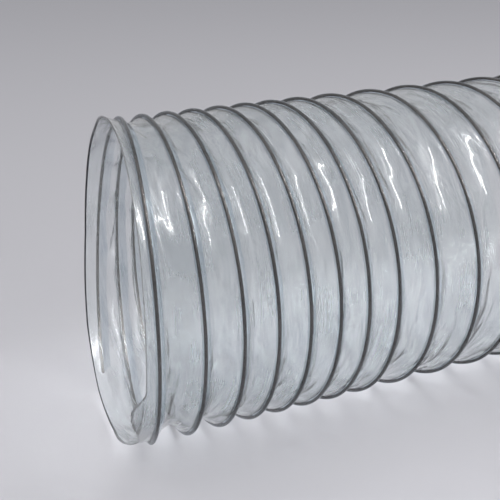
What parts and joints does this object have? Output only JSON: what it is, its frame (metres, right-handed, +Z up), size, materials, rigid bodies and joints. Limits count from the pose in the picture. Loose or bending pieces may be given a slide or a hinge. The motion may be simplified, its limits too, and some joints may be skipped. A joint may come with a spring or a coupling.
{
  "type": "flexible air duct",
  "caption": "Flexible ventilation duct of clear film wound on a spring-steel wire helix; each turn squeezes, stretches and bends on the next.",
  "frame": {"origin": "centre of the bounding box's underside: on the floor below the middle of the duct's length", "axes": "+X along the duct's axis, from the open mouth to the square-cut far end; +Z up; the -Y side is the one the picture sees"},
  "size_m": [0.3184, 0.1664, 0.1639],
  "materials": {
    "clear_film": "clear glossy film with a cool grey tint, lightly wrinkled",
    "welded_film": "two layers of the same film, darker and less clear",
    "spring_steel": "drawn spring wire, dark grey"
  },
  "bodies": {
    "turn_01": {"wire_turn_01": "spring_steel", "weld_lap_01": "welded_film", "film_mouth": "clear_film"},
    "fold_01": {"film_turn_01": "clear_film"},
    "turn_02": {"wire_turn_02": "spring_steel", "weld_lap_02": "welded_film"},
    "fold_02": {"film_turn_02": "clear_film"},
    "turn_03": {"wire_turn_03": "spring_steel", "weld_lap_03": "welded_film"},
    "fold_03": {"film_turn_03": "clear_film"},
    "turn_04": {"wire_turn_04": "spring_steel", "weld_lap_04": "welded_film"},
    "fold_04": {"film_turn_04": "clear_film"},
    "turn_05": {"wire_turn_05": "spring_steel", "weld_lap_05": "welded_film"},
    "fold_05": {"film_turn_05": "clear_film"},
    "turn_06": {"wire_turn_06": "spring_steel", "weld_lap_06": "welded_film"},
    "fold_06": {"film_turn_06": "clear_film"},
    "turn_07": {"wire_turn_07": "spring_steel", "weld_lap_07": "welded_film"},
    "fold_07": {"film_turn_07": "clear_film"},
    "turn_08": {"wire_turn_08": "spring_steel", "weld_lap_08": "welded_film"},
    "fold_08": {"film_turn_08": "clear_film"},
    "turn_09": {"wire_turn_09": "spring_steel", "weld_lap_09": "welded_film"},
    "fold_09": {"film_turn_09": "clear_film"},
    "turn_10": {"wire_turn_10": "spring_steel", "weld_lap_10": "welded_film"},
    "fold_10": {"film_turn_10": "clear_film"},
    "turn_11": {"wire_turn_11": "spring_steel", "weld_lap_11": "welded_film"},
    "fold_11": {"film_turn_11": "clear_film"},
    "turn_12": {"wire_turn_12": "spring_steel", "weld_lap_12": "welded_film"},
    "fold_12": {"film_turn_12": "clear_film"},
    "turn_13": {"wire_turn_13": "spring_steel", "weld_lap_13": "welded_film"},
    "fold_13": {"film_turn_13": "clear_film"},
    "turn_14": {"wire_turn_14": "spring_steel", "weld_lap_14": "welded_film", "film_end": "clear_film"}
  },
  "joints": [
    {"name": "squeeze_01", "type": "slide", "parent": "turn_01", "child": "fold_01", "axis": [1, 0, 0], "range_m": [-0.0031, 0.005], "deforming": ["film_turn_01"]},
    {"name": "bend_side_01", "type": "hinge", "parent": "fold_01", "child": "turn_02", "pos_m": [-0.12352, 0, 0.08194], "axis": [0, 0, 1], "range_deg": [-1.6, 1.6]},
    {"name": "squeeze_02", "type": "slide", "parent": "turn_02", "child": "fold_02", "axis": [1, 0, 0], "range_m": [-0.00416, 0.00671], "deforming": ["film_turn_02"]},
    {"name": "bend_up_02", "type": "hinge", "parent": "fold_02", "child": "turn_03", "pos_m": [-0.10578, 0, 0.08194], "axis": [0, -1, 0], "range_deg": [-2.3, 2.3]},
    {"name": "squeeze_03", "type": "slide", "parent": "turn_03", "child": "fold_03", "axis": [1, 0, 0], "range_m": [-0.00481, 0.00776], "deforming": ["film_turn_03"]},
    {"name": "bend_side_03", "type": "hinge", "parent": "fold_03", "child": "turn_04", "pos_m": [-0.08907, 0, 0.08194], "axis": [0, 0, 1], "range_deg": [-2.7, 2.7]},
    {"name": "squeeze_04", "type": "slide", "parent": "turn_04", "child": "fold_04", "axis": [1, 0, 0], "range_m": [-0.00525, 0.00846], "deforming": ["film_turn_04"]},
    {"name": "bend_up_04", "type": "hinge", "parent": "fold_04", "child": "turn_05", "pos_m": [-0.07298, 0, 0.08194], "axis": [0, -1, 0], "range_deg": [-2.9, 2.9]},
    {"name": "squeeze_05", "type": "slide", "parent": "turn_05", "child": "fold_05", "axis": [1, 0, 0], "range_m": [-0.00553, 0.00891], "deforming": ["film_turn_05"]},
    {"name": "bend_side_05", "type": "hinge", "parent": "fold_05", "child": "turn_06", "pos_m": [-0.05726, 0, 0.08194], "axis": [0, 0, 1], "range_deg": [-3, 3]},
    {"name": "squeeze_06", "type": "slide", "parent": "turn_06", "child": "fold_06", "axis": [1, 0, 0], "range_m": [-0.00578, 0.00931], "deforming": ["film_turn_06"]},
    {"name": "bend_up_06", "type": "hinge", "parent": "fold_06", "child": "turn_07", "pos_m": [-0.04171, 0, 0.08194], "axis": [0, -1, 0], "range_deg": [-3.2, 3.2]},
    {"name": "squeeze_07", "type": "slide", "parent": "turn_07", "child": "fold_07", "axis": [1, 0, 0], "range_m": [-0.0072, 0.0008], "deforming": ["film_turn_07"]},
    {"name": "bend_side_07", "type": "hinge", "parent": "fold_07", "child": "turn_08", "pos_m": [-0.02405, 0, 0.08194], "axis": [0, 0, 1], "range_deg": [-4, 4]},
    {"name": "squeeze_08", "type": "slide", "parent": "turn_08", "child": "fold_08", "axis": [1, 0, 0], "range_m": [-0.01182, 0.00132], "deforming": ["film_turn_08"]},
    {"name": "bend_up_08", "type": "hinge", "parent": "fold_08", "child": "turn_09", "pos_m": [-0.00139, 0, 0.08194], "axis": [0, -1, 0], "range_deg": [-4.2, 4.2]},
    {"name": "squeeze_09", "type": "slide", "parent": "turn_09", "child": "fold_09", "axis": [1, 0, 0], "range_m": [-0.0147, 0.00164], "deforming": ["film_turn_09"]},
    {"name": "bend_side_09", "type": "hinge", "parent": "fold_09", "child": "turn_10", "pos_m": [0.02414, 0, 0.08194], "axis": [0, 0, 1], "range_deg": [-4.2, 4.2]},
    {"name": "squeeze_10", "type": "slide", "parent": "turn_10", "child": "fold_10", "axis": [1, 0, 0], "range_m": [-0.0147, 0.00164], "deforming": ["film_turn_10"]},
    {"name": "bend_up_10", "type": "hinge", "parent": "fold_10", "child": "turn_11", "pos_m": [0.04978, 0, 0.08194], "axis": [0, -1, 0], "range_deg": [-4.2, 4.2]},
    {"name": "squeeze_11", "type": "slide", "parent": "turn_11", "child": "fold_11", "axis": [1, 0, 0], "range_m": [-0.0147, 0.00164], "deforming": ["film_turn_11"]},
    {"name": "bend_side_11", "type": "hinge", "parent": "fold_11", "child": "turn_12", "pos_m": [0.0754, 0, 0.08194], "axis": [0, 0, 1], "range_deg": [-4.2, 4.2]},
    {"name": "squeeze_12", "type": "slide", "parent": "turn_12", "child": "fold_12", "axis": [1, 0, 0], "range_m": [-0.01477, 0.00165], "deforming": ["film_turn_12"]},
    {"name": "bend_up_12", "type": "hinge", "parent": "fold_12", "child": "turn_13", "pos_m": [0.10101, 0, 0.08194], "axis": [0, -1, 0], "range_deg": [-4.2, 4.2]},
    {"name": "squeeze_13", "type": "slide", "parent": "turn_13", "child": "fold_13", "axis": [1, 0, 0], "range_m": [-0.01477, 0.00165], "deforming": ["film_turn_13"]},
    {"name": "bend_side_13", "type": "hinge", "parent": "fold_13", "child": "turn_14", "pos_m": [0.12662, 0, 0.08194], "axis": [0, 0, 1], "range_deg": [-4.2, 4.2]}
  ],
  "couplings": [
    {"joint": "squeeze_02", "follows": "squeeze_01", "ratio": 1.34},
    {"joint": "squeeze_03", "follows": "squeeze_01", "ratio": 1.55},
    {"joint": "bend_side_03", "follows": "bend_side_01", "ratio": 1.687},
    {"joint": "squeeze_04", "follows": "squeeze_01", "ratio": 1.69},
    {"joint": "bend_up_04", "follows": "bend_up_02", "ratio": 1.26},
    {"joint": "squeeze_05", "follows": "squeeze_01", "ratio": 1.78},
    {"joint": "bend_side_05", "follows": "bend_side_01", "ratio": 1.875},
    {"joint": "squeeze_06", "follows": "squeeze_01", "ratio": 1.86},
    {"joint": "bend_up_06", "follows": "bend_up_02", "ratio": 1.391},
    {"joint": "bend_side_07", "follows": "bend_side_01", "ratio": 2.5},
    {"joint": "squeeze_08", "follows": "squeeze_07", "ratio": 1.64},
    {"joint": "bend_up_08", "follows": "bend_up_02", "ratio": 1.826},
    {"joint": "squeeze_09", "follows": "squeeze_07", "ratio": 2.04},
    {"joint": "bend_side_09", "follows": "bend_side_01", "ratio": 2.625},
    {"joint": "squeeze_10", "follows": "squeeze_07", "ratio": 2.04},
    {"joint": "bend_up_10", "follows": "bend_up_02", "ratio": 1.826},
    {"joint": "squeeze_11", "follows": "squeeze_07", "ratio": 2.04},
    {"joint": "bend_side_11", "follows": "bend_side_01", "ratio": 2.625},
    {"joint": "squeeze_12", "follows": "squeeze_07", "ratio": 2.05},
    {"joint": "bend_up_12", "follows": "bend_up_02", "ratio": 1.826},
    {"joint": "squeeze_13", "follows": "squeeze_07", "ratio": 2.05},
    {"joint": "bend_side_13", "follows": "bend_side_01", "ratio": 2.625}
  ]
}
